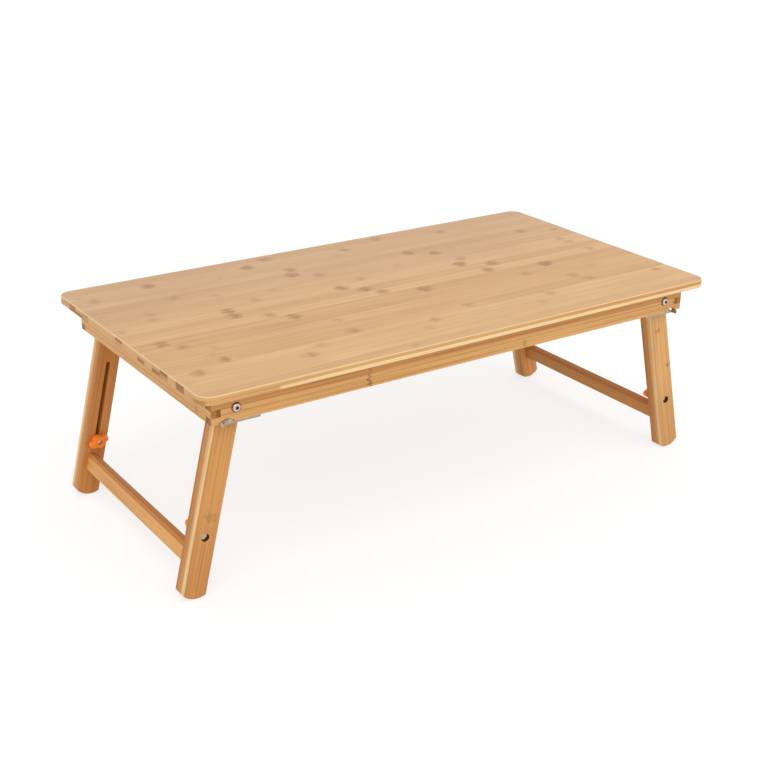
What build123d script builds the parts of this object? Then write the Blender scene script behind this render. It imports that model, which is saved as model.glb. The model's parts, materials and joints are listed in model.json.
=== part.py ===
from build123d import *
from math import cos, radians, sin, sqrt, tan
import os

# Folding floor table in bamboo, in millimetres, standing on its feet at its lowest height.
# X runs along the length, Y from the front to the back and Z up from the floor.

# Tabletop
top_length = 800.0
top_width = 431.0
top_thickness = 11.0
top_corner_radius = 18.0
top_edge_round = 1.5
top_under_bevel = 0.6
table_height = 278.5

# Apron frame under the tabletop
apron_height = 37.4
long_apron_thickness = 12.4
end_apron_thickness = 13.0
end_overhang = 22.2
side_overhang = 25.2
finger_count = 4
apron_edge_bevel = 0.8

# Dowels between the long aprons and the tabletop
dowel_diameter = 6.0
dowel_in_top = 6.0
dowel_in_apron = 14.0
dowels_per_long_apron = 3
dowel_end_margin = 60.0
dowel_end_gap = 0.3

# Legs: an outer board turns in the frame and an inner board slides on it
leg_splay = 13.3
leg_width = 31.0
board_thickness = 11.1
board_gap = 0.2
leg_edge_bevel = 0.8
foot_radius = 25.6
open_stop_gap = 0.2
pivot_below_top = 31.4
inner_board_top = 14.0
inner_board_top_round = 5.0

# Pivot hardware
pivot_bolt_diameter = 6.0
pivot_head_diameter = 12.2
pivot_head_height = 3.3
pivot_rim_height = 0.9
pivot_socket_size = 4.0
pivot_socket_depth = 2.0
sleeve_diameter = 8.0
sleeve_head_diameter = 14.0
sleeve_head_thickness = 1.5
sleeve_bore_depth = 12.4
pivot_washer_diameter = 16.0
pivot_washer_thickness = 2.5
washer_play = 0.1
turning_gap = 0.05
face_gap = 0.1
thread_gap = 0.03

# Slide and clamp
clamp_down = 171.5
slide_travel = 110.0
slide_stop_gap = 0.3
slot_width = 5.6
clamp_bolt_diameter = 5.0
clamp_head_diameter = 9.4
clamp_head_thickness = 2.4
clamp_head_sunk = 3.3
clamp_recess_gap = 0.5
clamp_washer_diameter = 13.0
clamp_washer_thickness = 1.0
tongue_width = 14.0
tongue_height = 2.1
tongue_top = 20.0
tongue_bottom = 136.0
groove_side_gap = 0.2
groove_floor_gap = 0.3
groove_top_gap = 2.0

# Wing nut
wing_span = 28.0
wing_width = 9.4
wing_root_round = 2.5
wing_thickness = 8.0
wing_rise = 2.6
wing_edge_bevel = 1.8
hub_diameter = 16.4
hub_height = 12.0
hub_edge_bevel = 1.0
insert_diameter = 8.0
insert_sunk = 2.2
bolt_end_sunk = 3.0
nut_mouth_diameter = 6.2
wing_turns = {"left_front": 40.0, "right_front": 162.0, "left_back": 147.0, "right_back": 100.0}

# Crossbar between the two inner boards of a pair
crossbar_down = 191.5
crossbar_height = 25.0
crossbar_thickness = 10.0
crossbar_offset = 2.5
crossbar_edge_round = 1.5
crossbar_screw_diameter = 4.0
crossbar_screw_head = 7.6
crossbar_screw_length = 32.0
crossbar_screw_spacing = 12.0

# Spring latch in an arched notch of the long apron
notch_width = 23.2
notch_height = 5.6
notch_from_frame_end = 20.2
latch_strip_thickness = 1.0
latch_strip_height = 3.0
latch_in_from_face = 1.7
latch_under_apron = 0.2
latch_flange_length = 11.0
latch_flange_width = 9.0
latch_plate_length = 11.2
latch_plate_height = 6.8
latch_plate_low_end = 3.0
latch_plate_round = 2.6
latch_tab_height = 5.6
latch_tab_corner_round = 1.4
latch_tab_reach = 8.2
latch_pin_from_frame_end = 24.4
latch_tab_from_pin = 10.3
latch_screw_from_pin = 35.9
latch_pin_above_edge = 1.3
latch_pin_diameter = 3.6
latch_rivet_diameter = 5.2
latch_rivet_thickness = 0.8
latch_pin_short = 0.3
lock_hole_diameter = 4.4
lock_hole_depth = 6.0
latch_screw_diameter = 3.0
latch_screw_length = 12.0
latch_screw_head = 6.0
latch_screw_head_thickness = 1.8
latch_screw_play = 0.2
latch_screw_in_from_face = 6.2

sides = ("left", "right")
ends = ("front", "back")
corners = [(side, end) for side in sides for end in ends]

# Places worked out from the sizes above
apron_top = table_height - top_thickness
apron_bottom = apron_top - apron_height
frame_x = top_length / 2 - end_overhang
frame_y = top_width / 2 - side_overhang
inner_x = frame_x - end_apron_thickness
inner_y = frame_y - long_apron_thickness
finger_height = apron_height / finger_count

half_leg = leg_width / 2
splay = radians(leg_splay)
pivot_z = table_height - pivot_below_top
stop_slope = tan(splay) * (pivot_z - apron_bottom)
pivot_x = inner_x - (open_stop_gap + half_leg) / cos(splay) - stop_slope
leg_outer_y = inner_y - pivot_washer_thickness - 2 * washer_play
inner_board_face = board_thickness + board_gap
leg_depth = inner_board_face + board_thickness
apron_face_depth = leg_outer_y - inner_y
leg_length = (pivot_z - foot_radius) / cos(splay) + foot_radius
foot_corner = leg_length - foot_radius + sqrt(foot_radius**2 - half_leg**2)

notch_x = frame_x - notch_from_frame_end
notch_radius = (notch_width**2 / 4 + notch_height**2) / (2 * notch_height)
pin_x = frame_x - latch_pin_from_frame_end
pin_z = apron_bottom + latch_pin_above_edge
tab_x = pin_x + latch_tab_from_pin
latch_screw_x = pin_x - latch_screw_from_pin
latch_screw_y = frame_y - latch_screw_in_from_face
strip_y = frame_y - latch_in_from_face


def at_corner(piece, side, end):
    # Pieces are drawn at the right front corner and mirrored to the others
    if side == "left":
        piece = mirror(piece, about=Plane.YZ)
    if end == "back":
        piece = mirror(piece, about=Plane.XZ)
    return piece


def slab(outline, depth_from, depth_to):
    # An outline across and up the leg, given a depth inwards from the leg's outer face
    return extrude(Plane.XZ.offset(-depth_from) * outline, amount=depth_from - depth_to)


def rod(radius, depth_from, depth_to, across=0.0, down=0.0):
    return Pos(across, 0, -down) * slab(Circle(radius), depth_from, depth_to)


def on_leg(piece, side, end):
    # From the leg's own frame, with its origin on the pivot, to its place in the table
    stood = Pos(pivot_x, -leg_outer_y, pivot_z) * Rot(0, -leg_splay, 0) * piece
    return at_corner(stood, side, end)


def along_leg(x, z):
    # A place on the right side of the table, as a distance across and down the leg
    across = (x - pivot_x) * cos(splay) + (z - pivot_z) * sin(splay)
    down = (x - pivot_x) * sin(splay) - (z - pivot_z) * cos(splay)
    return across, down


def row_places(count, half_span):
    return [half_span * (2 * i / (count - 1) - 1) for i in range(count)]


# Tabletop and apron frame

def dowel_places():
    along = row_places(dowels_per_long_apron, inner_x - dowel_end_margin)
    apron_middle = frame_y - long_apron_thickness / 2
    return [(x, way * apron_middle) for x in along for way in (-1, 1)]


def dowel_set(end_gap=0.0):
    length = dowel_in_top + dowel_in_apron - 2 * end_gap
    low = apron_top - dowel_in_apron + end_gap
    dowel = Cylinder(dowel_diameter / 2, length, align=(Align.CENTER, Align.CENTER, Align.MIN))
    return [Pos(x, y, low) * dowel for x, y in dowel_places()]


def tabletop():
    board = extrude(RectangleRounded(top_length, top_width, top_corner_radius), amount=top_thickness)
    board = fillet(board.faces().sort_by(Axis.Z)[-1].edges(), top_edge_round)
    board = chamfer(board.faces().sort_by(Axis.Z)[0].edges(), top_under_bevel)
    return Pos(0, 0, apron_top) * board - dowel_set()


def apron_ring():
    # The four aprons are cut from one ring, so that their finger ends share its eased corners
    high = (Align.CENTER, Align.CENTER, Align.MIN)
    ring = Box(2 * frame_x, 2 * frame_y, apron_height, align=high)
    ring = chamfer(ring.edges().filter_by(Axis.Z), apron_edge_bevel)
    ring = chamfer(ring.faces().sort_by(Axis.Z)[0].edges(), apron_edge_bevel)
    ring -= Box(2 * inner_x, 2 * inner_y, apron_height, align=high)
    return Pos(0, 0, apron_bottom) * ring


def finger_box(level, x_size, y_size):
    place = Pos(0, 0, apron_bottom + level * finger_height)
    return place * Box(x_size, y_size, finger_height, align=(Align.CENTER, Align.CENTER, Align.MIN))


def notch_cutter():
    # A circle whose top lies a notch height above the apron's lower edge
    centre_z = apron_bottom + notch_height - notch_radius
    cutter = Plane.XZ.offset(frame_y + 1) * Circle(notch_radius)
    return Pos(notch_x, 0, centre_z) * extrude(cutter, amount=-(long_apron_thickness + 1))


def end_mask():
    # What belongs to the end aprons: the middle of their length and every second finger
    mask = Part() + Box(4 * frame_x, 2 * inner_y, 4 * table_height)
    mask += [finger_box(level, 4 * frame_x, 4 * frame_y) for level in range(1, finger_count, 2)]
    return mask - Box(2 * inner_x, 4 * frame_y, 4 * table_height)


def long_apron(ring, end):
    apron = ring - end_mask()
    apron = apron & Pos(0, -frame_y, apron_bottom) * Box(4 * frame_x, 2 * frame_y, 4 * apron_height)
    screw_hole = Cylinder(latch_screw_diameter / 2 + thread_gap, 2 * (latch_screw_length + thread_gap))
    for side in sides:
        apron -= at_corner(notch_cutter(), side, "front")
        apron -= at_corner(Pos(latch_screw_x, -latch_screw_y, apron_bottom) * screw_hole, side, "front")
        apron -= on_leg(rod(pivot_bolt_diameter / 2 + thread_gap, -2 * leg_outer_y, 0), side, "front")
    if end == "back":
        apron = mirror(apron, about=Plane.XZ)
    return apron - dowel_set()


def end_apron(ring, side):
    apron = ring & end_mask()
    apron = apron & Pos(frame_x, 0, apron_bottom) * Box(2 * frame_x, 4 * frame_y, 4 * apron_height)
    if side == "left":
        apron = mirror(apron, about=Plane.YZ)
    return apron


# Legs

def foot_curve():
    return ThreePointArc((-half_leg, -foot_corner), (0, -leg_length), (half_leg, -foot_corner))


def upper_leg():
    # A round head about the pivot, straight edges and a rounded foot
    outline = make_face(Curve() + [
        foot_curve(),
        Line((half_leg, -foot_corner), (half_leg, 0)),
        ThreePointArc((half_leg, 0), (0, half_leg), (-half_leg, 0)),
        Line((-half_leg, 0), (-half_leg, -foot_corner)),
    ])
    board = slab(outline, 0, board_thickness)
    board = chamfer(board.faces().sort_by(Axis.Y)[0].edges(), leg_edge_bevel)
    board -= rod(sleeve_diameter / 2 + turning_gap, -1, leg_depth)
    board -= rod(clamp_bolt_diameter / 2 + turning_gap, -1, leg_depth, down=clamp_down)
    recess_depth = clamp_head_sunk + clamp_head_thickness
    board -= rod(clamp_head_diameter / 2 + clamp_recess_gap, -1, recess_depth, down=clamp_down)
    board -= guide_groove()
    across, down = along_leg(pin_x, pin_z)
    return board - rod(lock_hole_diameter / 2, -1, lock_hole_depth, across=across, down=down)


def guide_groove():
    # Runs out through the foot, so that the tongue can leave it as the leg grows
    width = tongue_width + 2 * groove_side_gap
    depth = tongue_height - board_gap + groove_floor_gap
    top = tongue_top - groove_top_gap
    length = leg_length - top
    outline = Pos(0, -top - length / 2) * Rectangle(width, length)
    return slab(outline, board_thickness - depth, board_thickness + 1)


def lower_leg():
    shoulder = half_leg - inner_board_top_round
    lean = inner_board_top_round * (1 - cos(radians(45)))
    outline = make_face(Curve() + [
        foot_curve(),
        Line((half_leg, -foot_corner), (half_leg, -inner_board_top - inner_board_top_round)),
        ThreePointArc(
            (half_leg, -inner_board_top - inner_board_top_round),
            (half_leg - lean, -inner_board_top - lean),
            (shoulder, -inner_board_top),
        ),
        Line((shoulder, -inner_board_top), (-shoulder, -inner_board_top)),
        ThreePointArc(
            (-shoulder, -inner_board_top),
            (-half_leg + lean, -inner_board_top - lean),
            (-half_leg, -inner_board_top - inner_board_top_round),
        ),
        Line((-half_leg, -inner_board_top - inner_board_top_round), (-half_leg, -foot_corner)),
    ])
    board = slab(outline, inner_board_face, leg_depth)
    board = chamfer(board.faces().sort_by(Axis.Y)[-1].edges(), leg_edge_bevel)
    board += guide_tongue()
    board -= clamp_slot()
    for down in crossbar_screw_downs():
        board -= crossbar_screw(down, gap=turning_gap)
    return board


def guide_tongue():
    length = tongue_bottom - tongue_top
    outline = Pos(0, -tongue_top - length / 2) * Rectangle(tongue_width, length)
    return slab(outline, inner_board_face - tongue_height, inner_board_face)


def clamp_slot():
    # The bolt meets the lower end when the leg is short and the upper end when it is long
    upper_end = clamp_down - slide_travel - slide_stop_gap
    lower_end = clamp_down + slide_stop_gap
    outline = Pos(0, -(upper_end + lower_end) / 2) * Rot(0, 0, 90) * SlotCenterToCenter(
        lower_end - upper_end, slot_width
    )
    return slab(outline, 0, leg_depth + 1)


# Crossbar

def crossbar_screw_downs():
    middle = crossbar_down + crossbar_height / 2
    return [middle - crossbar_screw_spacing / 2, middle + crossbar_screw_spacing / 2]


def crossbar_screw(down, gap=0.0):
    # A countersunk head flush with the board's face, with its shank in the crossbar's end
    head_radius = crossbar_screw_head / 2 + gap
    shank_radius = crossbar_screw_diameter / 2 + gap
    profile = make_face(Polyline(
        (0, 0), (head_radius, 0), (shank_radius, head_radius - shank_radius),
        (shank_radius, crossbar_screw_length), (0, crossbar_screw_length), close=True,
    ))
    return Pos(crossbar_offset, inner_board_face, -down) * revolve(profile, axis=Axis.Y)


def crossbar(side):
    half_length = leg_outer_y - leg_depth
    middle = crossbar_down + crossbar_height / 2
    bar = Box(crossbar_thickness, 2 * half_length, crossbar_height)
    bar = fillet(bar.edges().filter_by(Axis.Y), crossbar_edge_round)
    bar = Pos(pivot_x, 0, pivot_z) * Rot(0, -leg_splay, 0) * Pos(crossbar_offset, 0, -middle) * bar
    for end in ends:
        for down in crossbar_screw_downs():
            bar -= on_leg(crossbar_screw(down), "right", end)
    return at_corner(bar, side, "front")


# Pivot and clamp hardware

def pivot_bolt():
    # A domed head on the apron's face, with a hexagon socket, and a shank into the sleeve nut
    face = leg_outer_y - frame_y
    end = apron_face_depth + sleeve_bore_depth
    head_radius = pivot_head_diameter / 2
    dome_rise = pivot_head_height - pivot_rim_height
    dome_radius = (head_radius**2 + dome_rise**2) / (2 * dome_rise)
    dome_middle = sqrt(dome_radius**2 - head_radius**2 / 4) - dome_radius + pivot_head_height
    profile = make_face(Curve() + [
        Line((0, face), (0, face - pivot_head_height)),
        ThreePointArc(
            (0, face - pivot_head_height),
            (head_radius / 2, face - dome_middle),
            (head_radius, face - pivot_rim_height),
        ),
        Line((head_radius, face - pivot_rim_height), (head_radius, face)),
        Line((head_radius, face), (0, face)),
    ])
    bolt = revolve(profile, axis=Axis.Y) + rod(pivot_bolt_diameter / 2, face, end)
    socket = RegularPolygon(pivot_socket_size / 2, 6, major_radius=False)
    return bolt - slab(socket, face - pivot_head_height - 1, face - pivot_head_height + pivot_socket_depth)


def sleeve_nut():
    head_face = board_thickness + face_gap
    sleeve = rod(sleeve_diameter / 2, apron_face_depth, head_face)
    sleeve += rod(sleeve_head_diameter / 2, head_face, head_face + sleeve_head_thickness)
    bore_end = apron_face_depth + sleeve_bore_depth + thread_gap
    return sleeve - rod(pivot_bolt_diameter / 2 + thread_gap, apron_face_depth - 1, bore_end)


def pivot_washer():
    start = apron_face_depth + washer_play
    ring = rod(pivot_washer_diameter / 2, start, start + pivot_washer_thickness)
    return ring - rod(sleeve_diameter / 2 + turning_gap, start - 1, start + pivot_washer_thickness + 1)


def clamp_washer_face():
    return leg_depth + face_gap


def nut_face():
    return clamp_washer_face() + clamp_washer_thickness + face_gap


def clamp_bolt():
    shank_end = nut_face() + hub_height - bolt_end_sunk
    head_end = clamp_head_sunk + clamp_head_thickness
    bolt = rod(clamp_head_diameter / 2, clamp_head_sunk, head_end, down=clamp_down)
    return bolt + rod(clamp_bolt_diameter / 2, clamp_head_sunk, shank_end, down=clamp_down)


def clamp_washer():
    start = clamp_washer_face()
    end = start + clamp_washer_thickness
    ring = rod(clamp_washer_diameter / 2, start, end, down=clamp_down)
    return ring - rod(clamp_bolt_diameter / 2 + turning_gap, start - 1, end + 1, down=clamp_down)


def wing_nut(turn):
    # Two rounded wings on a hub, with a threaded insert and a mouth where the bolt's end shows
    hub_radius = hub_diameter / 2
    outline = Circle(hub_radius - hub_edge_bevel) + SlotOverall(wing_span, wing_width)
    roots = [v for v in outline.vertices() if abs(v.X) < hub_radius]
    outline = fillet(roots, wing_root_round)
    start = nut_face()
    wings = slab(outline, start + wing_rise, start + wing_rise + wing_thickness)
    wings = chamfer(wings.faces().sort_by(Axis.Y)[-1].edges(), wing_edge_bevel)
    hub = rod(hub_radius, start, start + hub_height)
    hub = chamfer(hub.faces().sort_by(Axis.Y)[-1].edges(), hub_edge_bevel)
    nut = hub + wings
    nut -= rod(insert_diameter / 2, start - 1, start + hub_height - insert_sunk)
    nut -= rod(nut_mouth_diameter / 2, start, start + hub_height + 1)
    return Pos(0, 0, -clamp_down) * Rot(0, -turn, 0) * nut


def wing_nut_insert():
    start = nut_face()
    end = start + hub_height - insert_sunk
    barrel = rod(insert_diameter / 2, start, end, down=clamp_down)
    return barrel - rod(clamp_bolt_diameter / 2 + turning_gap, start - 1, end + 1, down=clamp_down)


# Spring latch, drawn in the table's frame at the right front corner

def standing_plate(outline, thickness_in):
    # An outline across and up, given its thickness inwards from the strip's outer face
    return extrude(Plane.XZ.offset(strip_y) * outline, amount=-thickness_in)


def latch_spring():
    flange_top = apron_bottom - latch_under_apron / 2
    strip_top = flange_top
    strip_low = strip_top - latch_strip_height
    strip_start = latch_screw_x - latch_flange_length / 2
    strip_length = tab_x + latch_strip_thickness / 2 - strip_start
    strip = Pos(strip_start + strip_length / 2, (strip_low + strip_top) / 2) * Rectangle(
        strip_length, latch_strip_height
    )
    plate_start = pin_x - latch_plate_length / 2
    plate_end = pin_x + latch_plate_length / 2
    plate_top = strip_low + latch_plate_height
    low_top = strip_low + latch_plate_low_end
    plate = Polyline(
        (plate_start, strip_low), (plate_end, strip_low), (plate_end, plate_top),
        (pin_x - latch_plate_round, plate_top), (plate_start, low_top), close=True,
    )
    plate = make_face(plate)
    corner = plate.vertices().sort_by(Axis.X)[-2:].sort_by(Axis.Y)[-1]
    plate = fillet(corner, latch_plate_round)
    spring = standing_plate(strip + plate, latch_strip_thickness)
    spring += latch_flange(flange_top)
    spring += latch_tab(strip_low)
    screw_hole = Cylinder(latch_screw_diameter / 2 + latch_screw_play, 3 * latch_strip_height)
    spring -= Pos(latch_screw_x, -latch_screw_y, flange_top) * screw_hole
    return spring - pin_rod(latch_pin_diameter / 2, strip_y + 1, strip_y - latch_strip_thickness - 1)


def latch_flange(flange_top):
    inward = Pos(latch_screw_x, -strip_y + latch_flange_width / 2, flange_top - latch_strip_thickness / 2)
    return inward * Box(latch_flange_length, latch_flange_width, latch_strip_thickness)


def latch_tab(low):
    # A finger tab that stands out of the apron's face at the strip's free end
    reach = latch_tab_reach + latch_strip_thickness
    middle = (tab_x, -strip_y - latch_tab_reach + reach / 2, low + latch_tab_height / 2)
    tab = Pos(*middle) * Box(latch_strip_thickness, reach, latch_tab_height)
    outer_edges = tab.faces().sort_by(Axis.Y)[0].edges().filter_by(Axis.X)
    return fillet(outer_edges, latch_tab_corner_round)


def pin_rod(radius, y_from, y_to):
    outline = Plane.XZ.offset(y_from) * Pos(pin_x, pin_z) * Circle(radius)
    return extrude(outline, amount=y_to - y_from)


def latch_pin():
    # Riveted in the plate; its inner end is drawn just clear of the leg's face
    rivet = pin_rod(latch_rivet_diameter / 2, strip_y + latch_rivet_thickness, strip_y)
    return rivet + pin_rod(latch_pin_diameter / 2, strip_y, leg_outer_y + latch_pin_short)


def latch_screw():
    low = (Align.CENTER, Align.CENTER, Align.MAX)
    head_top = apron_bottom - latch_under_apron - latch_strip_thickness
    shank_length = latch_screw_length + apron_bottom - head_top
    head = Cylinder(latch_screw_head / 2, latch_screw_head_thickness, align=low)
    shank = Cylinder(latch_screw_diameter / 2, shank_length, align=(Align.CENTER, Align.CENTER, Align.MIN))
    return Pos(latch_screw_x, -latch_screw_y, head_top) * (head + shank)


def group(pieces):
    return Compound(children=[piece.solid() for piece in pieces])


def sub_parts():
    ring = apron_ring()
    named = {"tabletop": tabletop(), "top_dowels": group(dowel_set(dowel_end_gap))}
    for end in ends:
        named[f"{end}_long_apron"] = long_apron(ring, end)
    for side in sides:
        named[f"{side}_end_apron"] = end_apron(ring, side)
        named[f"{side}_crossbar"] = crossbar(side)
        screws = [(end, crossbar_screw(down)) for end in ends for down in crossbar_screw_downs()]
        named[f"{side}_crossbar_screws"] = group([on_leg(screw, side, end) for end, screw in screws])
        named[f"{side}_clamp_bolts"] = group([on_leg(clamp_bolt(), side, end) for end in ends])
        named[f"{side}_clamp_washers"] = group([on_leg(clamp_washer(), side, end) for end in ends])
    for side, end in corners:
        corner = f"{side}_{end}"
        named[f"{corner}_upper_leg"] = on_leg(upper_leg(), side, end)
        named[f"{corner}_lower_leg"] = on_leg(lower_leg(), side, end)
        named[f"{corner}_pivot_bolt"] = on_leg(pivot_bolt(), side, end)
        named[f"{corner}_wing_nut"] = on_leg(wing_nut(wing_turns[corner]), side, end)
        named[f"{corner}_wing_nut_insert"] = on_leg(wing_nut_insert(), side, end)
        named[f"{corner}_latch_spring"] = at_corner(latch_spring(), side, end)
        named[f"{corner}_latch_pin"] = at_corner(latch_pin(), side, end)
    named["pivot_sleeve_nuts"] = group([on_leg(sleeve_nut(), side, end) for side, end in corners])
    named["pivot_washers"] = group([on_leg(pivot_washer(), side, end) for side, end in corners])
    named["latch_screws"] = group([at_corner(latch_screw(), side, end) for side, end in corners])
    return named


os.makedirs("parts", exist_ok=True)
for name, piece in sub_parts().items():
    export_step(piece, f"parts/{name}.step")
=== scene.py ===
import json
from math import pi, radians

import bpy
from mathutils import Matrix, Vector


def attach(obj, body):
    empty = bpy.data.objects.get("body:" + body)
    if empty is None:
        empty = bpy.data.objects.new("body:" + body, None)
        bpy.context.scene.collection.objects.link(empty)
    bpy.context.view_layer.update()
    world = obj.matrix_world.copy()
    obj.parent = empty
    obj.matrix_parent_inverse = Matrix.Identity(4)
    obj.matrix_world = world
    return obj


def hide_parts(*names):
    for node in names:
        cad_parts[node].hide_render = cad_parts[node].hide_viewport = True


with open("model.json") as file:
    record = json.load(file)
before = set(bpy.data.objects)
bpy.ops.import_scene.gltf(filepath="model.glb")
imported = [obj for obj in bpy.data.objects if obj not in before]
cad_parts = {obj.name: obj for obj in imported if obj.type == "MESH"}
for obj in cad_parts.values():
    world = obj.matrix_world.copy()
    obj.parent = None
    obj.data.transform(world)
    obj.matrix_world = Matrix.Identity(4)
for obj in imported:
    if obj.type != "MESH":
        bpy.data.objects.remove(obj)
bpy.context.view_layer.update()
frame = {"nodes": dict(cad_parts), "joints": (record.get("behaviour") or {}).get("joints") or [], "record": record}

nodes = frame["nodes"]
joints = {joint["name"]: joint for joint in frame["joints"]}
pivot = Vector(joints["right_legs_fold"]["pos_m"])
splay = radians(13.3)  # how far each leg leans outwards
clampDown = 0.1715  # from the pivot down the leg to the clamp bolt
legOuterY = 0.1752  # the leg's outer face
sideWay = {"left": -1, "right": 1}
endWay = {"front": -1, "back": 1}
corners = [(side, end) for side in sideWay for end in endWay]
print("frame loaded, nodes:", len(nodes))


# Node helpers
def colour(red, green, blue):
    # From screen values to linear light
    return tuple(((value / 255 + 0.055) / 1.055) ** 2.4 for value in (red, green, blue)) + (1.0,)


def newFinish(name):
    material = bpy.data.materials.new(name)
    material.use_nodes = True
    tree = material.node_tree
    tree.nodes.clear()
    shader = tree.nodes.new("ShaderNodeBsdfPrincipled")
    output = tree.nodes.new("ShaderNodeOutputMaterial")
    tree.links.new(shader.outputs[0], output.inputs["Surface"])
    return material, tree, shader


def feed(tree, socket, value):
    if isinstance(value, bpy.types.NodeSocket):
        tree.links.new(value, socket)
    else:
        socket.default_value = value


def calc(tree, how, *values):
    node = tree.nodes.new("ShaderNodeMath")
    node.operation = how
    for socket, value in zip(node.inputs, values):
        feed(tree, socket, value)
    return node.outputs[0]


def total(tree, values, weights):
    result = 0.0
    for value, weight in zip(values, weights):
        result = calc(tree, "MULTIPLY_ADD", value, weight, result)
    return result


def apart(tree, value, line):
    return calc(tree, "ABSOLUTE", calc(tree, "SUBTRACT", value, line))


def ease(tree, value, low, high, start=0.0, end=1.0):
    node = tree.nodes.new("ShaderNodeMapRange")
    node.interpolation_type = "SMOOTHSTEP"
    fed = {"Value": value, "From Min": low, "From Max": high, "To Min": start, "To Max": end}
    for name in fed:
        feed(tree, node.inputs[name], fed[name])
    return node.outputs["Result"]


def split(tree, vector):
    node = tree.nodes.new("ShaderNodeSeparateXYZ")
    feed(tree, node.inputs[0], vector)
    return node.outputs[0], node.outputs[1], node.outputs[2]


def join(tree, x, y, z):
    node = tree.nodes.new("ShaderNodeCombineXYZ")
    for socket, value in zip(node.inputs, (x, y, z)):
        feed(tree, socket, value)
    return node.outputs[0]


def stretch(tree, values, rates):
    return join(tree, *(calc(tree, "MULTIPLY", value, rate) for value, rate in zip(values, rates)))


def noise(tree, vector, detail=3.0):
    node = tree.nodes.new("ShaderNodeTexNoise")
    feed(tree, node.inputs["Vector"], vector)
    node.inputs["Scale"].default_value = 1.0
    node.inputs["Detail"].default_value = detail
    return node.outputs[0]


def chance(tree, vector):
    node = tree.nodes.new("ShaderNodeTexWhiteNoise")
    feed(tree, node.inputs["Vector"], vector)
    return node.outputs["Value"]


def blend(tree, share, first, second):
    node = tree.nodes.new("ShaderNodeMix")
    node.data_type = "RGBA"
    feed(tree, node.inputs[0], share)
    feed(tree, node.inputs[6], first)
    feed(tree, node.inputs[7], second)
    return node.outputs[2]


def ownSpace(tree, kind, place=(0, 0, 0), lean=0.0):
    # Object place or Normal, as seen from a piece's own frame
    coords = tree.nodes.new("ShaderNodeTexCoord")
    turned = tree.nodes.new("ShaderNodeMapping")
    turned.vector_type = "TEXTURE"
    turned.inputs["Location"].default_value = place
    turned.inputs["Rotation"].default_value = (0, lean, 0)
    tree.links.new(coords.outputs[kind], turned.inputs["Vector"])
    return split(tree, turned.outputs[0])


def radius(tree, x, z):
    squares = [calc(tree, "MULTIPLY", value, value) for value in (x, z)]
    return calc(tree, "SQRT", total(tree, squares, (1.0, 1.0)))


def paint(tree, shader, base, rough, height, depth):
    feed(tree, shader.inputs["Base Color"], base)
    feed(tree, shader.inputs["Roughness"], rough)
    bump = tree.nodes.new("ShaderNodeBump")
    bump.inputs["Distance"].default_value = depth
    feed(tree, bump.inputs["Height"], height)
    feed(tree, shader.inputs["Normal"], bump.outputs[0])


def dress(material, name):
    nodes[name].data.materials.clear()
    nodes[name].data.materials.append(material)


# Bamboo
# A ramp is (low, high, start, end), and a wood's weights are for its noises in the order they are named
fibres = {
    "fineRates": (7.0, 1500.0, 1500.0),
    "streakRates": (3.5, 400.0, 400.0),
    "streakRamp": (0.3, 0.7),
    "cloudDetail": 2.0,
    "sheen": 0.22,
    "depth": 0.00006,
}


def woodFibres(tree, along, across, deep):
    places = (along, across, deep)
    fine = noise(tree, stretch(tree, places, fibres["fineRates"]))
    streak = noise(tree, stretch(tree, places, fibres["streakRates"]))
    return fine, ease(tree, streak, *fibres["streakRamp"])


def woodCloud(tree, along, across, rates, seed):
    # Slow changes of tone along a board
    places = [calc(tree, "MULTIPLY", value, rate) for value, rate in zip((along, across), rates)]
    return noise(tree, join(tree, *places, seed), fibres["cloudDetail"])


def paintWood(tree, shader, base, fine, look, height):
    paint(tree, shader, base, ease(tree, fine, *look["roughRamp"]), height, fibres["depth"])
    shader.inputs["Specular IOR Level"].default_value = fibres["sheen"]


cutEnds = {
    "toneRamp": (0.35, 1.0),
    "dotRates": (1.0, 1100.0, 1100.0),
    "dotDetail": 2.0,
    "dotRamp": (0.45, 0.62, 0.0, 0.5),
}


def endGrain(tree, across, deep, look, seed):
    # Cut ends of the strips: darker blocks with the dots of the fibre bundles
    block = calc(tree, "FLOOR", calc(tree, "DIVIDE", across, look["strip"]))
    layer = calc(tree, "FLOOR", calc(tree, "DIVIDE", deep, look["ply"]))
    tone = chance(tree, join(tree, block, layer, seed))
    dots = noise(tree, stretch(tree, (0.0, across, deep), cutEnds["dotRates"]), cutEnds["dotDetail"])
    shade = blend(tree, ease(tree, tone, *cutEnds["toneRamp"]), look["endLight"], look["endDark"])
    return blend(tree, ease(tree, dots, *cutEnds["dotRamp"]), shade, look["endDot"])


cane = {
    "wanderRates": (60.0, 420.0, 420.0),
    "wander": 0.016,
    "core": 0.1,
}


def wandering(tree, along, across, deep, rates, wander):
    # The place along a strip, shifted a little to give marks a ragged outline
    ragged = noise(tree, stretch(tree, (along, across, deep), rates))
    return calc(tree, "MULTIPLY_ADD", calc(tree, "SUBTRACT", ragged, 0.5), wander, along)


def knuckles(tree, along, across, deep, marks):
    # Marks where joints of the cane crossed the strips, as (place, across, half length, half width, force)
    shifted = wandering(tree, along, across, deep, cane["wanderRates"], cane["wander"])
    result = 0.0
    for place, height, halfLength, halfWidth, force in marks:
        alongShare = calc(tree, "DIVIDE", calc(tree, "SUBTRACT", shifted, place), halfLength)
        acrossShare = calc(tree, "DIVIDE", calc(tree, "SUBTRACT", across, height), halfWidth)
        squares = [calc(tree, "POWER", share, 2.0) for share in (alongShare, acrossShare)]
        mark = ease(tree, calc(tree, "ADD", *squares), cane["core"], 1.0, force, 0.0)
        result = calc(tree, "MAXIMUM", result, mark)
    return result


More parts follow.
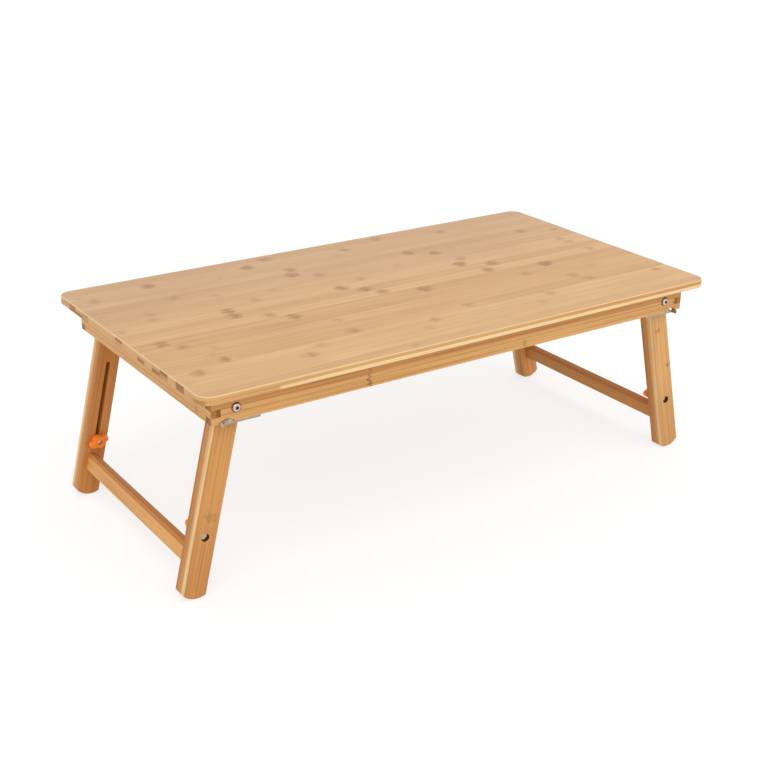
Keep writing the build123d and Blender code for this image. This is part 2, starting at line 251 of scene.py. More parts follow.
bambooTop = {
    "strip": 0.0213,
    "stripStart": -0.0155,  # the middle of strip 0
    "ply": 0.0055,
    "plyLine": 0.273,
    "halfLength": 0.4,
    "markReach": 0.0160,
    "markLimits": (0.001, 0.999),  # shares of the length that a mark's curve points keep to
    "markRates": (70.0, 260.0, 260.0),
    "markWander": 0.026,
    "markTaper": 0.4,  # a mark fades towards the sides of its strip
    "markRamp": (0.02, 0.75),
    "markShare": 0.58,
    "gritRates": (120.0, 700.0, 700.0),
    "gritRamp": (0.3, 0.65, 0.4, 1.45),
    "toneSeed": 4.0,
    "cloudRates": (6.0, 3.7),
    "weights": (0.35, 0.6, 0.3, 0.35),  # strip, cloud, streak, fine
    "middleRamp": (0.3, 0.85),
    "darkRamp": (0.75, 1.35),
    "backShadeAndSheenRamp": (-0.06, 0.22, 0.0, 0.45),
    "seamRamp": (0.955, 1.0, 0.0, 0.35),
    "rightRamp": (-0.05, 0.25),
    "leftRamp": (-0.305, -0.295),
    "lineRates": (5.0, 900.0, 900.0),
    "lineRamp": (0.5, 0.72, 0.0, 0.55),
    "glueRamp": (0.0, 0.0005, 0.6, 0.0),
    "endRamp": (0.55, 0.75),
    "endSeed": 5.0,
    "edgeRamp": (0.3, 0.6, 1.0, 0.0),
    # Painted highlight: a light line along the rounded top arris where the light catches it
    "arrisHighlightRise": (0.15, 0.45),
    "arrisHighlightFall": (0.9, 0.98, 1.0, 0.0),
    "arrisHighlightShare": 0.75,
    "roughRamp": (0.2, 0.8, 0.34, 0.46),
    "reliefWeights": (1.0, -1.5, 0.6),  # fine, seam, mark
    "light": colour(232, 190, 138),
    "middle": colour(216, 170, 117),
    "dark": colour(193, 144, 94),
    "mark": colour(150, 98, 56),
    "seam": colour(176, 128, 84),
    "back": colour(186, 148, 118),  # painted shade and sheen: the board is painted greyer and darker towards the back
    "upperEdge": colour(222, 172, 112),
    "upperEdgeRight": colour(214, 156, 92),
    "lowerEdge": colour(246, 214, 160),
    "lowerEdgeLeft": colour(220, 170, 108),
    "edgeLine": colour(172, 112, 58),
    # Painted highlight colour of the rounded top arris
    "arrisHighlight": colour(243, 216, 168),
    "endLight": colour(232, 182, 116),
    "endDark": colour(170, 104, 48),
    "endDot": colour(130, 76, 34),
}

# Knuckle marks of the tabletop, strip by strip from the front: place along in mm and force
topMarks = {
    -9: [(-102, 0.3), (244, 0.25)],
    -8: [(-330, 0.2), (60, 0.2)],
    -7: [(-391, 0.3), (-227, 0.6), (-50, 0.35), (137, 0.35)],
    -6: [(-368, 0.6), (-200, 0.45), (-27, 0.5), (168, 0.5), (372, 0.5)],
    -5: [(-319, 0.8), (-301, 0.3), (-140, 0.6), (44, 0.5), (259, 0.5)],
    -4: [(-328, 0.35), (250, 0.5)],
    -3: [(-314, 0.3), (-134, 0.4), (303, 0.3)],
    -2: [(-347, 0.5), (197, 0.5)],
    -1: [(-365, 0.7), (-176, 0.8), (34, 0.95), (251, 0.95)],
    0: [(-199, 0.6), (-22, 0.7), (161, 0.8), (359, 0.5)],
    1: [(-241, 0.8), (-37, 0.7), (186, 0.8)],
    2: [(-390, 0.4), (-239, 0.8), (-61, 0.8), (143, 0.9), (355, 0.5)],
    3: [(-335, 0.4), (-187, 0.5), (-17, 0.5), (161, 0.6), (353, 0.5)],
    4: [(-332, 0.4), (-144, 0.4), (61, 0.35), (289, 0.25)],
    5: [(-390, 0.3), (-223, 0.4), (-58, 0.5), (144, 0.7), (381, 0.5)],
    6: [(-276, 0.5), (-92, 0.8), (110, 0.8), (328, 0.6)],
    7: [(-251, 0.25), (-82, 0.7)],
    8: [(-370, 0.5), (-185, 0.3), (13, 0.3)],
    9: [(-386, 0.3), (-284, 0.8), (-128, 0.8), (39, 0.6), (217, 0.6)],
    10: [(-263, 0.3), (-88, 0.6), (109, 0.6)],
}


def stripMarks(tree, along, marks):
    # A curve along one strip that rises to each mark's force at its place
    node = tree.nodes.new("ShaderNodeFloatCurve")
    curve = node.mapping.curves[0]
    curve.points[1].location = (1.0, 0.0)
    half = bambooTop["halfLength"]
    first, last = bambooTop["markLimits"]
    reach = bambooTop["markReach"] / (2 * half)
    for place, force in marks:
        middle = (place / 1000 + half) / (2 * half)
        for at, height in ((middle - reach, 0.0), (middle, force), (middle + reach, 0.0)):
            if first < at < last:
                curve.points.new(at, height)
    for point in curve.points:
        point.handle_type = "VECTOR"
    node.mapping.update()
    feed(tree, node.inputs["Value"], calc(tree, "DIVIDE", calc(tree, "ADD", along, half), 2 * half))
    return node.outputs[0]


def topKnuckles(tree, along, across, deep, number, inStrip):
    look = bambooTop
    shifted = wandering(tree, along, across, deep, look["markRates"], look["markWander"])
    mark = 0.0
    for strip in topMarks:
        here = calc(tree, "COMPARE", number, strip, 0.5)
        mark = calc(tree, "MULTIPLY_ADD", stripMarks(tree, shifted, topMarks[strip]), here, mark)
    taper = calc(tree, "MULTIPLY", calc(tree, "POWER", inStrip, 3.0), look["markTaper"])
    mark = ease(tree, calc(tree, "SUBTRACT", mark, taper), *look["markRamp"])
    grit = noise(tree, stretch(tree, (along, across, deep), look["gritRates"]))
    return calc(tree, "MULTIPLY", mark, ease(tree, grit, *look["gritRamp"]))


def topEdge(tree, x, y, z, ply, endOn):
    # Long edges show the two plies side on, short edges show cut ends
    look = bambooTop
    upper = blend(tree, ease(tree, x, *look["rightRamp"]), look["upperEdge"], look["upperEdgeRight"])
    lower = blend(tree, ease(tree, x, *look["leftRamp"]), look["lowerEdgeLeft"], look["lowerEdge"])
    edge = blend(tree, ply, lower, upper)
    lines = noise(tree, stretch(tree, (x, y, z), look["lineRates"]), 2.0)
    edge = blend(tree, ease(tree, lines, *look["lineRamp"]), edge, look["edgeLine"])
    ends = endGrain(tree, y, calc(tree, "SUBTRACT", z, look["plyLine"]), look, look["endSeed"])
    edge = blend(tree, ease(tree, endOn, *look["endRamp"]), edge, ends)
    glue = ease(tree, apart(tree, z, look["plyLine"]), *look["glueRamp"])
    return blend(tree, glue, edge, look["edgeLine"])


def tabletopFinish():
    look = bambooTop
    material, tree, shader = newFinish("bambooTabletop")
    x, y, z = ownSpace(tree, "Object")
    face = ownSpace(tree, "Normal")
    ply = calc(tree, "GREATER_THAN", z, look["plyLine"])
    way = calc(tree, "MULTIPLY_ADD", ply, 2.0, -1.0)  # the lower ply is turned round
    along = calc(tree, "MULTIPLY", x, way)
    across = calc(tree, "MULTIPLY", y, way)
    start = look["stripStart"] / look["strip"] - 0.5
    place = calc(tree, "SUBTRACT", calc(tree, "DIVIDE", across, look["strip"]), start)
    number = calc(tree, "FLOOR", place)
    inStrip = calc(tree, "MULTIPLY_ADD", calc(tree, "FRACT", place), 2.0, -1.0)
    inStrip = calc(tree, "ABSOLUTE", inStrip)  # 0 in the middle of a strip and 1 at its sides
    fine, streak = woodFibres(tree, along, across, z)
    tone = chance(tree, join(tree, number, look["toneSeed"], ply))
    cloud = woodCloud(tree, along, number, look["cloudRates"], ply)
    share = total(tree, (tone, cloud, streak, fine), look["weights"])
    base = blend(tree, ease(tree, share, *look["middleRamp"]), look["light"], look["middle"])
    base = blend(tree, ease(tree, share, *look["darkRamp"]), base, look["dark"])
    # Painted shade and sheen: the top greys and darkens towards the back
    base = blend(tree, ease(tree, y, *look["backShadeAndSheenRamp"]), base, look["back"])
    seam = ease(tree, inStrip, *look["seamRamp"])
    base = blend(tree, seam, base, look["seam"])
    mark = topKnuckles(tree, along, across, z, number, inStrip)
    base = blend(tree, calc(tree, "MULTIPLY", mark, look["markShare"]), base, look["mark"])
    edge = topEdge(tree, x, y, z, ply, calc(tree, "ABSOLUTE", face[0]))
    upright = ease(tree, calc(tree, "ABSOLUTE", face[2]), *look["edgeRamp"])
    base = blend(tree, upright, base, edge)
    # Painted highlight along the rounded top arris
    arrisHighlight = ease(tree, face[2], *look["arrisHighlightRise"])
    arrisHighlight = calc(tree, "MULTIPLY", arrisHighlight, ease(tree, face[2], *look["arrisHighlightFall"]))
    base = blend(tree, calc(tree, "MULTIPLY", arrisHighlight, look["arrisHighlightShare"]), base, look["arrisHighlight"])
    paintWood(tree, shader, base, fine, look, total(tree, (fine, seam, mark), look["reliefWeights"]))
    return material


bambooApron = {
    "strip": 0.0187,
    "ply": 0.0065,
    "line": 0.2488,  # the glue line between the upper and the lower strip
    "lineSoft": 0.0003,
    "cloudRates": (4.0, 60.0),
    "weights": (0.5, 0.7, 0.5),  # cloud, streak, fine
    "streakRamp": (0.7, 1.25, 0.0, 0.6),
    "glueRamp": (0.0, 0.0005, 0.35, 0.0),
    "markShare": 0.75,
    "endRamp": (0.6, 0.8),
    "roughRamp": (0.2, 0.8, 0.4, 0.55),
    "reliefWeights": (1.0, 0.8),  # fine, mark
    "upperLong": colour(216, 156, 92),
    "upperEnd": colour(224, 168, 102),
    "lower": colour(230, 178, 112),
    "streak": colour(184, 118, 58),
    "mark": colour(126, 70, 30),
    "endLight": colour(196, 130, 68),
    "endDark": colour(140, 88, 46),
    "endDot": colour(96, 56, 28),
}

# The seed of each apron's noise and its marks
aprons = {
    "front_long_apron": {
        "seed": 19.0,
        "marks": [
            (-0.160, 0.238, 0.0035, 0.013, 0.8),
            (-0.158, 0.253, 0.002, 0.012, 0.35),
            (0.087, 0.236, 0.004, 0.009, 0.4),
            (0.365, 0.243, 0.006, 0.005, 0.5),
        ],
    },
    "back_long_apron": {
        "seed": 23.0,
        "marks": [
            (0.215, 0.240, 0.004, 0.012, 0.6),
            (-0.08, 0.257, 0.004, 0.008, 0.5),
            (-0.29, 0.236, 0.004, 0.010, 0.5),
        ],
    },
    "left_end_apron": {
        "seed": 17.0,
        "marks": [(-0.154, 0.239, 0.005, 0.008, 0.45), (0.06, 0.252, 0.004, 0.009, 0.4)],
    },
    "right_end_apron": {
        "seed": 23.0,
        "marks": [(0.02, 0.240, 0.005, 0.010, 0.5), (0.14, 0.254, 0.004, 0.008, 0.4)],
    },
}


def apronFinish(name):
    look = bambooApron
    seed = aprons[name]["seed"]
    isLong = name.endswith("long_apron")
    material, tree, shader = newFinish("bamboo_" + name)
    x, y, z = ownSpace(tree, "Object")
    face = ownSpace(tree, "Normal")
    along, deep, endOn = (x, y, face[0]) if isLong else (y, x, face[1])
    fine, streak = woodFibres(tree, along, z, deep)
    cloud = woodCloud(tree, along, z, look["cloudRates"], seed)
    line, soft = look["line"], look["lineSoft"]
    upper = look["upperLong"] if isLong else look["upperEnd"]
    base = blend(tree, ease(tree, z, line - soft, line + soft), look["lower"], upper)
    share = total(tree, (cloud, streak, fine), look["weights"])
    base = blend(tree, ease(tree, share, *look["streakRamp"]), base, look["streak"])
    base = blend(tree, ease(tree, apart(tree, z, line), *look["glueRamp"]), base, look["mark"])
    mark = knuckles(tree, along, z, deep, aprons[name]["marks"])
    base = blend(tree, calc(tree, "MULTIPLY", mark, look["markShare"]), base, look["mark"])
    ends = endGrain(tree, calc(tree, "SUBTRACT", z, line), calc(tree, "ABSOLUTE", deep), look, seed)
    endShare = ease(tree, calc(tree, "ABSOLUTE", endOn), *look["endRamp"])
    base = blend(tree, endShare, base, ends)
    paintWood(tree, shader, base, fine, look, total(tree, (fine, mark), look["reliefWeights"]))
    return material


bambooLeg = {
    "strip": 0.0155,
    "ply": 0.0056,
    "cloudRates": (9.0, 70.0),
    "weights": (0.5, 0.8, 0.5),  # cloud, streak, fine
    "footRamp": (-0.25, -0.08, 0.3, 0.0),  # an outer board darkens towards the foot
    "streakRamp": (0.75, 1.3, 0.0, 0.5),
    "markShare": 0.7,
    # On the edges, each board's ply line from the leg's outer face and its two tones
    # The upper board's pale outer tone is its pale ply with a painted highlight where its eased edge catches the
    # light
    "upper": {"line": 0.0060, "outer": colour(246, 208, 150), "inner": colour(230, 180, 116)},
    "lower": {"line": 0.0170, "outer": colour(216, 150, 84), "inner": colour(196, 130, 68)},
    "lineSoft": 0.0004,
    "edgeStreakRamp": (0.75, 1.3, 0.0, 0.45),
    "edgeRamp": (0.5, 0.75),
    "endRamp": (0.55, 0.8),
    "recessShadeRamp": (0.00522, 0.00552, 1.0, 0.0),
    "roughRamp": (0.2, 0.8, 0.4, 0.55),
    "reliefWeights": (1.0, 0.8),  # fine, mark
    "mark": colour(124, 70, 32),
    "streak": colour(170, 104, 48),
    "recessShade": colour(96, 50, 24),  # painted shade: the bored recess of the clamp bolt is painted dark where shade falls in it
    "endLight": colour(204, 146, 84),
    "endDark": colour(156, 98, 50),
    "endDot": colour(104, 62, 30),
}

# Each board's seed, the tone of its broad face and its marks
legBoards = {
    "left_front_upper_leg": {
        "seed": 1.0,
        "tone": colour(216, 156, 92),
        "marks": [(-0.1435, 0.002, 0.005, 0.013, 0.35), (-0.150, 0.005, 0.0025, 0.010, 0.4)],
    },
    "left_front_lower_leg": {
        "seed": 4.0,
        "tone": colour(212, 150, 86),
        "marks": [(-0.09, 0.004, 0.004, 0.012, 0.5)],
    },
    "right_front_upper_leg": {
        "seed": 7.0,
        "tone": colour(226, 174, 110),
        "marks": [(-0.0515, -0.004, 0.004, 0.008, 0.5), (-0.115, 0.010, 0.004, 0.006, 0.7)],
    },
    "right_front_lower_leg": {
        "seed": 10.0,
        "tone": colour(208, 146, 82),
        "marks": [(-0.13, -0.003, 0.004, 0.010, 0.5)],
    },
    "left_back_upper_leg": {
        "seed": 13.0,
        "tone": colour(228, 174, 110),
        "marks": [(-0.12, 0.003, 0.004, 0.012, 0.5)],
    },
    "left_back_lower_leg": {
        "seed": 16.0,
        "tone": colour(204, 138, 74),
        "marks": [(-0.205, -0.005, 0.004, 0.009, 0.3)],
    },
    "right_back_upper_leg": {
        "seed": 19.0,
        "tone": colour(222, 166, 100),
        "marks": [(-0.10, -0.004, 0.004, 0.012, 0.5)],
    },
    "right_back_lower_leg": {
        "seed": 22.0,
        "tone": colour(230, 166, 96),
        "marks": [(-0.06, 0.003, 0.004, 0.010, 0.4)],
    },
}


def legFinish(name):
    look = bambooLeg
    board = legBoards[name]
    side, end, kind = name.split("_")[:3]
    lean = -sideWay[side] * splay
    material, tree, shader = newFinish("bamboo_" + name)
    x, y, z = ownSpace(tree, "Object", (sideWay[side] * pivot.x, 0, pivot.z), lean)
    face = ownSpace(tree, "Normal", lean=lean)
    deep = calc(tree, "SUBTRACT", legOuterY, calc(tree, "ABSOLUTE", y))  # from the leg's outer face
    fine, streak = woodFibres(tree, z, x, deep)
    cloud = woodCloud(tree, z, x, look["cloudRates"], board["seed"])
    share = total(tree, (cloud, streak, fine), look["weights"])
    base = board["tone"]
    if kind == "upper":
        base = blend(tree, ease(tree, z, *look["footRamp"]), base, look["streak"])
    base = blend(tree, ease(tree, share, *look["streakRamp"]), base, look["streak"])
    mark = knuckles(tree, z, x, deep, board["marks"])
    base = blend(tree, calc(tree, "MULTIPLY", mark, look["markShare"]), base, look["mark"])
    line, soft = look[kind]["line"], look["lineSoft"]
    edge = ease(tree, deep, line - soft, line + soft)
    edge = blend(tree, edge, look[kind]["outer"], look[kind]["inner"])
    edge = blend(tree, ease(tree, share, *look["edgeStreakRamp"]), edge, look["streak"])
    onEdge = ease(tree, calc(tree, "ABSOLUTE", face[0]), *look["edgeRamp"])
    base = blend(tree, onEdge, base, edge)
    onEnd = ease(tree, calc(tree, "ABSOLUTE", face[2]), *look["endRamp"])
    base = blend(tree, onEnd, base, endGrain(tree, x, deep, look, board["seed"]))
    if kind == "upper":
        # Painted shade inside the bored recess of the clamp bolt
        hole = radius(tree, x, calc(tree, "ADD", z, clampDown))
        base = blend(tree, ease(tree, hole, *look["recessShadeRamp"]), base, look["recessShade"])
    paintWood(tree, shader, base, fine, look, total(tree, (fine, mark), look["reliefWeights"]))
    return material


bambooBar = {
    "left": {"seed": 2.0, "low": colour(232, 172, 102), "high": colour(200, 130, 64)},
    "right": {"seed": 7.0, "low": colour(210, 146, 80), "high": colour(186, 120, 60)},
    "line": -0.1975,  # between the two strips of the bar, from the pivot
    "lineSoft": 0.0006,
    "cloudRates": (5.0, 70.0),
    "weights": (0.5, 0.8, 0.5),  # cloud, streak, fine
    "streakRamp": (0.75, 1.3, 0.0, 0.4),
    "roughRamp": (0.2, 0.8, 0.42, 0.56),
    "streak": colour(164, 102, 50),
}


def crossbarFinish(side):
    look = bambooBar
    bar = look[side]
    material, tree, shader = newFinish(f"bamboo_{side}_crossbar")
    place = (sideWay[side] * pivot.x, 0, pivot.z)
    x, y, z = ownSpace(tree, "Object", place, -sideWay[side] * splay)
    fine, streak = woodFibres(tree, y, x, z)
    cloud = woodCloud(tree, y, z, look["cloudRates"], bar["seed"])
    line, soft = look["line"], look["lineSoft"]
    base = blend(tree, ease(tree, z, line - soft, line + soft), bar["low"], bar["high"])
    share = total(tree, (cloud, streak, fine), look["weights"])
    base = blend(tree, ease(tree, share, *look["streakRamp"]), base, look["streak"])
    paintWood(tree, shader, base, fine, look, fine)
    return material


dowel = {
    "light": colour(226, 190, 140),
    "dark": colour(198, 154, 104),
    "roughRamp": (0.2, 0.8, 0.5, 0.65),
    "depth": 0.00005,
}


def dowelFinish():
    material, tree, shader = newFinish("beechDowel")
    x, y, z = ownSpace(tree, "Object")
    fine, streak = woodFibres(tree, z, x, y)
    base = blend(tree, fine, dowel["light"], dowel["dark"])
    paint(tree, shader, base, ease(tree, streak, *dowel["roughRamp"]), fine, dowel["depth"])
    return material


dress(tabletopFinish(), "tabletop")
for name in aprons:
    dress(apronFinish(name), name)
for name in legBoards:
    dress(legFinish(name), name)
for side in sideWay:
    dress(crossbarFinish(side), side + "_crossbar")
dress(dowelFinish(), "top_dowels")
print("bamboo finished")


# Metal and plastic
metals = {
    "nickel": {
        "low": colour(196, 188, 178),
        "high": colour(172, 160, 148),
        "roughRamp": (0.2, 0.8, 0.1, 0.22),
        "rates": (900.0, 900.0, 900.0),
    },
    "springSteel": {
        "low": colour(194, 178, 160),
        "high": colour(152, 134, 114),
        "roughRamp": (0.2, 0.8, 0.22, 0.38),
        "rates": (60.0, 1500.0, 1500.0),
    },
    "screwPlate": {
        "low": colour(160, 148, 134),
        "high": colour(122, 108, 92),
        "roughRamp": (0.2, 0.8, 0.24, 0.42),
        "rates": (700.0, 700.0, 700.0),
    },
    "brass": {
        "low": colour(206, 168, 96),
        "high": colour(170, 130, 66),
        "roughRamp": (0.2, 0.8, 0.24, 0.4),
        "rates": (800.0, 800.0, 800.0),
    },
    "patchRates": (130.0, 130.0, 130.0),
    "depth": 0.00001,
}


def metalFinish(name):
    look = metals[name]
    material, tree, shader = newFinish(name)
    place = ownSpace(tree, "Object")
    fine = noise(tree, stretch(tree, place, look["rates"]))
    patch = noise(tree, stretch(tree, place, metals["patchRates"]), 2.0)
    base = blend(tree, patch, look["low"], look["high"])
    paint(tree, shader, base, ease(tree, fine, *look["roughRamp"]), fine, metals["depth"])
    shader.inputs["Metallic"].default_value = 1.0
    return material


boltHead = {
    "bright": colour(206, 196, 186),
    # painted dark reflection and shade at the rim of the dome
    "rimShade": colour(104, 76, 56),
    # painted shade in the hexagon socket
    "socket": colour(84, 52, 34),
    "rimShadeRamp": (0.0042, 0.0056),
    "socketShadeRamp": (0.0021, 0.0024, 1.0, 0.0),
    "roughRamp": (0.2, 0.8, 0.08, 0.2),
    "rates": (900.0, 900.0, 900.0),
}


def boltHeadFinish():
    # Bright dome with painted shade and reflection: a darker rim painted for dark reflections and the shadow gap,
    # and a hexagon socket painted dark as shade in its recess
    look = boltHead
    material, tree, shader = newFinish("nickelBoltHead")
    place = ownSpace(tree, "Object")
    fromAxis = calc(tree, "SUBTRACT", calc(tree, "ABSOLUTE", place[0]), pivot.x)
    away = radius(tree, fromAxis, calc(tree, "SUBTRACT", place[2], pivot.z))
    fine = noise(tree, stretch(tree, place, look["rates"]))
    # Painted shade and reflection: a darker rim, then a dark socket
    base = blend(tree, ease(tree, away, *look["rimShadeRamp"]), look["bright"], look["rimShade"])
    base = blend(tree, ease(tree, away, *look["socketShadeRamp"]), base, look["socket"])
    paint(tree, shader, base, ease(tree, fine, *look["roughRamp"]), fine, metals["depth"])
    shader.inputs["Metallic"].default_value = 1.0
    return material


orange = {
    "face": colour(255, 142, 48),
    "deep": colour(250, 132, 40),
    "flowRates": (90.0, 90.0, 90.0),
    "flowRamp": (0.35, 0.7),
    "skinRates": (2600.0, 2600.0, 2600.0),
    "roughRamp": (0.3, 0.7, 0.36, 0.5),
    "depth": 0.00002,
    "sheen": 0.35,
}


def orangeFinish():
    look = orange
    material, tree, shader = newFinish("orangePlastic")
    place = ownSpace(tree, "Object")
    flow = noise(tree, stretch(tree, place, look["flowRates"]), 2.0)
    skin = noise(tree, stretch(tree, place, look["skinRates"]), 2.0)
    base = blend(tree, ease(tree, flow, *look["flowRamp"]), look["face"], look["deep"])
    paint(tree, shader, base, ease(tree, skin, *look["roughRamp"]), skin, look["depth"])
    shader.inputs["Specular IOR Level"].default_value = look["sheen"]
    return material


metalOf = {
    "nickel_plate": "nickel",
    "spring_steel": "springSteel",
    "plated_screw": "screwPlate",
    "brass_insert": "brass",
}
finishes = {slot: metalFinish(metalOf[slot]) for slot in metalOf}
finishes["orange_plastic"] = orangeFinish()
for row in frame["record"]["subparts"]:
    if row["material_slot"] in finishes:
        dress(finishes[row["material_slot"]], row["node"])
boltHeads = boltHeadFinish()
for side, end in corners:
    dress(boltHeads, f"{side}_{end}_pivot_bolt")
print("metal and plastic finished")


# Wing nuts
wingNut = {
    "hubRadius": 0.0080,
    "hubHeight": 0.0120,
    "sides": 64,
    "span": 0.0272,
    "width": 0.0092,
    "wingLow": 0.0028,
    "wingHeight": 0.0078,
    "wingRound": 0.0044,
    "roundSteps": 10,
    "bore": 0.0040,
    "boreLow": -0.001,
    "boreHigh": 0.0098,
    "mouth": 0.0031,
    "mouthHigh": 0.02,
    "grain": 0.00030,  # how finely the moulding follows its form
    "softness": 0.5,
    "softenTimes": 6,
    "keptFaces": 0.35,
    "smoothAngle": 50,
    "start": 0.0236,  # from the leg's outer face to the nut
    # How far each nut is turned about its bolt, in degrees
    "turns": {"left_front": 40.0, "right_front": 162.0, "left_back": 147.0, "right_back": 100.0},
}


def applyPlace():
    bpy.ops.object.transform_apply(location=True, rotation=True, scale=True)


def carve(piece, cutter, how):
    change = piece.modifiers.new("carve", "BOOLEAN")
    change.operation = how
    change.object = cutter
    change.solver = "EXACT"
    bpy.context.view_layer.objects.active = piece
    bpy.ops.object.modifier_apply(modifier="carve")
    bpy.data.objects.remove(cutter, do_unlink=True)


def rod(size, low, high):
    bpy.ops.object.select_all(action="DESELECT")
    bpy.ops.mesh.primitive_cylinder_add(
        vertices=wingNut["sides"], radius=size, depth=high - low, location=(0, 0, (low + high) / 2)
    )
    applyPlace()
    return bpy.context.object


def mouldWings():
    # A block whose four upright edges are rounded
    look = wingNut
    bpy.ops.object.select_all(action="DESELECT")
    middle = look["wingLow"] + look["wingHeight"] / 2
    bpy.ops.mesh.primitive_cube_add(size=1, location=(0, 0, middle))
    wings = bpy.context.object
    wings.scale = (look["span"], look["width"], look["wingHeight"])
    applyPlace()
    bpy.ops.object.mode_set(mode="EDIT")
    bpy.ops.mesh.select_mode(type="EDGE")
    bpy.ops.mesh.select_all(action="DESELECT")
    bpy.ops.object.mode_set(mode="OBJECT")
    for edge in wings.data.edges:
        first, second = (wings.data.vertices[i].co for i in edge.vertices)
        edge.select = abs(first.z - second.z) > look["wingHeight"] / 2
    bpy.ops.object.mode_set(mode="EDIT")
    bpy.ops.mesh.bevel(offset=look["wingRound"], segments=look["roundSteps"])
    bpy.ops.object.mode_set(mode="OBJECT")
    return wings


def mouldWingNut():
    look = wingNut
    nut = rod(look["hubRadius"], 0.0, look["hubHeight"])
    carve(nut, mouldWings(), "UNION")
    carve(nut, rod(look["bore"], look["boreLow"], look["boreHigh"]), "DIFFERENCE")
    carve(nut, rod(look["mouth"], 0.0, look["mouthHigh"]), "DIFFERENCE")
    for name, kind, settings in (
        ("moulding", "REMESH", {"mode": "VOXEL", "voxel_size": look["grain"]}),
        ("soften", "SMOOTH", {"factor": look["softness"], "iterations": look["softenTimes"]}),
        ("lighten", "DECIMATE", {"ratio": look["keptFaces"]}),
    ):
        change = nut.modifiers.new(name, kind)
        for setting in settings:
            setattr(change, setting, settings[setting])
        bpy.ops.object.modifier_apply(modifier=name)
    return nut


def placeOnLeg(piece, side, end):
    # From the piece's own frame, its axis along Z, to its place on one leg
    turn = radians(wingNut["turns"][f"{side}_{end}"])
    spot = Matrix.Diagonal((sideWay[side], -endWay[end], 1, 1))
    spot = spot @ Matrix.Translation((pivot.x, -legOuterY, pivot.z)) @ Matrix.Rotation(-splay, 4, "Y")
    spot = spot @ Matrix.Translation((0, wingNut["start"], -clampDown)) @ Matrix.Rotation(-turn, 4, "Y")
    piece.matrix_world = spot @ Matrix.Rotation(-pi / 2, 4, "X")
    bpy.ops.object.select_all(action="DESELECT")
    piece.select_set(True)
    bpy.context.view_layer.objects.active = piece
    applyPlace()
    bpy.ops.object.mode_set(mode="EDIT")
    bpy.ops.mesh.select_all(action="SELECT")
    bpy.ops.mesh.normals_make_consistent(inside=False)
    bpy.ops.object.mode_set(mode="OBJECT")
    bpy.ops.object.shade_smooth_by_angle(angle=radians(wingNut["smoothAngle"]))


pattern = mouldWingNut()
for side, end in corners:
    nut = pattern.copy()
    nut.data = pattern.data.copy()
    nut.name = f"{side}_{end}_moulded_wing_nut"
    bpy.context.scene.collection.objects.link(nut)
    placeOnLeg(nut, side, end)
    nut.data.materials.append(finishes["orange_plastic"])
    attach(nut, f"{side}_{end}_nut")
    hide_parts(f"{side}_{end}_wing_nut")
bpy.data.objects.remove(pattern, do_unlink=True)
print("wing nuts moulded")


# Camera, floor and light
camera = {
    "lens": 62.17,
    "sensor": 36.0,
    "place": (-0.9959, -1.4403, 0.8677),
    "yaw": 34.455,  # to the right of straight ahead
    "pitch": 22.838,  # downwards
    "roll": 0.732,
}


def setCamera():
    data = bpy.data.cameras.new("camera")
    data.lens = camera["lens"]
    data.sensor_width = camera["sensor"]
    view = bpy.data.objects.new("camera", data)
    bpy.context.scene.collection.objects.link(view)
    turn = Matrix.Rotation(-radians(camera["yaw"]), 3, "Z")
    turn = turn @ Matrix.Rotation(pi / 2 - radians(camera["pitch"]), 3, "X")
    turn = turn @ Matrix.Rotation(radians(camera["roll"]), 3, "Z")
    view.rotation_euler = turn.to_euler()
    view.location = camera["place"]
    bpy.context.scene.camera = view


light = {
    "sky": 0.74,  # even light from all round
    "sun": 1.05,
    "sunSpread": 70.0,
    "sunLean": (38.0, -16.0),  # the light comes from the front and the left, in degrees
    "floorSize": 40,
    "floorDrop": 0.0004,  # the floor lies this far below the feet
    "floorGlow": 0.71,
    "floorCatch": 0.34,
    "floorWhite": 0.86,
}


def seenRay(tree):
    rays = tree.nodes.new("ShaderNodeLightPath")
    seen = calc(tree, "MAXIMUM", rays.outputs["Is Camera Ray"], rays.outputs["Is Glossy Ray"])
    return calc(tree, "MAXIMUM", seen, rays.outputs["Is Transmission Ray"])


def matt(tree, grey):
    node = tree.nodes.new("ShaderNodeBsdfDiffuse")
    node.inputs["Color"].default_value = (grey, grey, grey, 1.0)
    return node


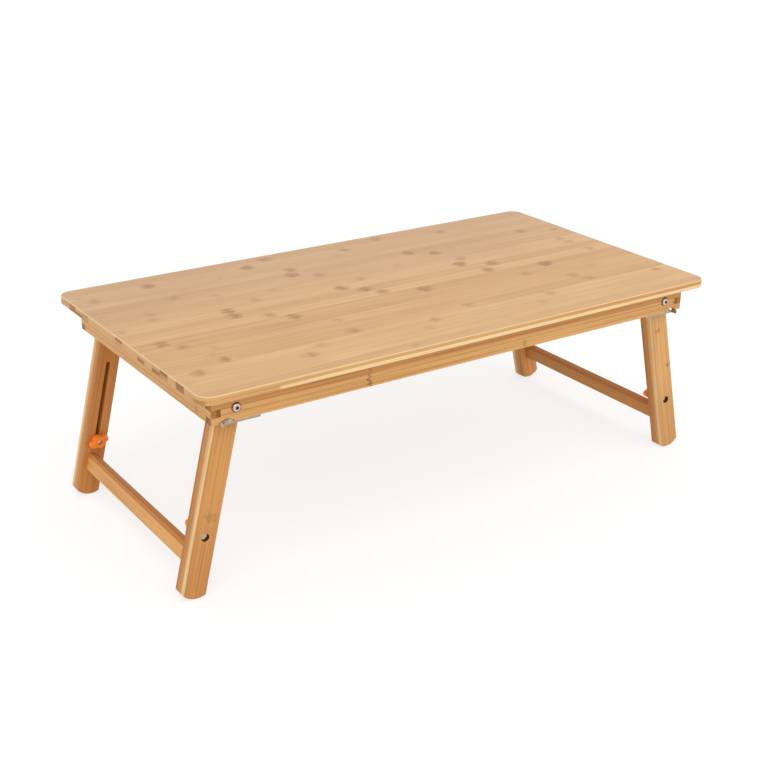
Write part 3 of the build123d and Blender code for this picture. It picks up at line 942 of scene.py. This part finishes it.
def either(tree, share, first, second):
    node = tree.nodes.new("ShaderNodeMixShader")
    for socket, value in zip(node.inputs, (share, first.outputs[0], second.outputs[0])):
        tree.links.new(value, socket)
    return node


def setFloor():
    bpy.ops.object.select_all(action="DESELECT")
    bpy.ops.mesh.primitive_plane_add(size=light["floorSize"], location=(0, 0, -light["floorDrop"]))
    floor = bpy.context.object
    floor.name = "floor"
    material = bpy.data.materials.new("floorPaper")
    material.use_nodes = True
    tree = material.node_tree
    tree.nodes.clear()
    glow = tree.nodes.new("ShaderNodeEmission")
    glow.inputs["Strength"].default_value = light["floorGlow"]
    bright = tree.nodes.new("ShaderNodeAddShader")
    tree.links.new(glow.outputs[0], bright.inputs[0])
    tree.links.new(matt(tree, light["floorCatch"]).outputs[0], bright.inputs[1])
    seen = either(tree, seenRay(tree), matt(tree, light["floorWhite"]), bright)
    under = tree.nodes.new("ShaderNodeNewGeometry").outputs["Backfacing"]
    clear = tree.nodes.new("ShaderNodeBsdfTransparent")
    shown = either(tree, under, seen, clear)  # seen from below, the floor is clear
    output = tree.nodes.new("ShaderNodeOutputMaterial")
    tree.links.new(shown.outputs[0], output.inputs["Surface"])
    floor.data.materials.append(material)


def setLight():
    data = bpy.data.lights.new("sun", "SUN")
    data.energy = light["sun"]
    data.angle = radians(light["sunSpread"])
    sun = bpy.data.objects.new("sun", data)
    bpy.context.scene.collection.objects.link(sun)
    sun.rotation_euler = [radians(lean) for lean in light["sunLean"]] + [0]
    world = bpy.data.worlds.new("studio")
    bpy.context.scene.world = world
    world.use_nodes = True
    tree = world.node_tree
    tree.nodes.clear()
    output = tree.nodes.new("ShaderNodeOutputWorld")
    background = tree.nodes.new("ShaderNodeBackground")
    background.inputs["Color"].default_value = (1.0, 1.0, 1.0, 1.0)
    feed(tree, background.inputs["Strength"], ease(tree, seenRay(tree), 0.0, 1.0, light["sky"], 1.0))
    tree.links.new(background.outputs[0], output.inputs[0])
    bpy.context.scene.view_settings.view_transform = "Standard"


setCamera()
setFloor()
setLight()
print("camera, floor and light set")
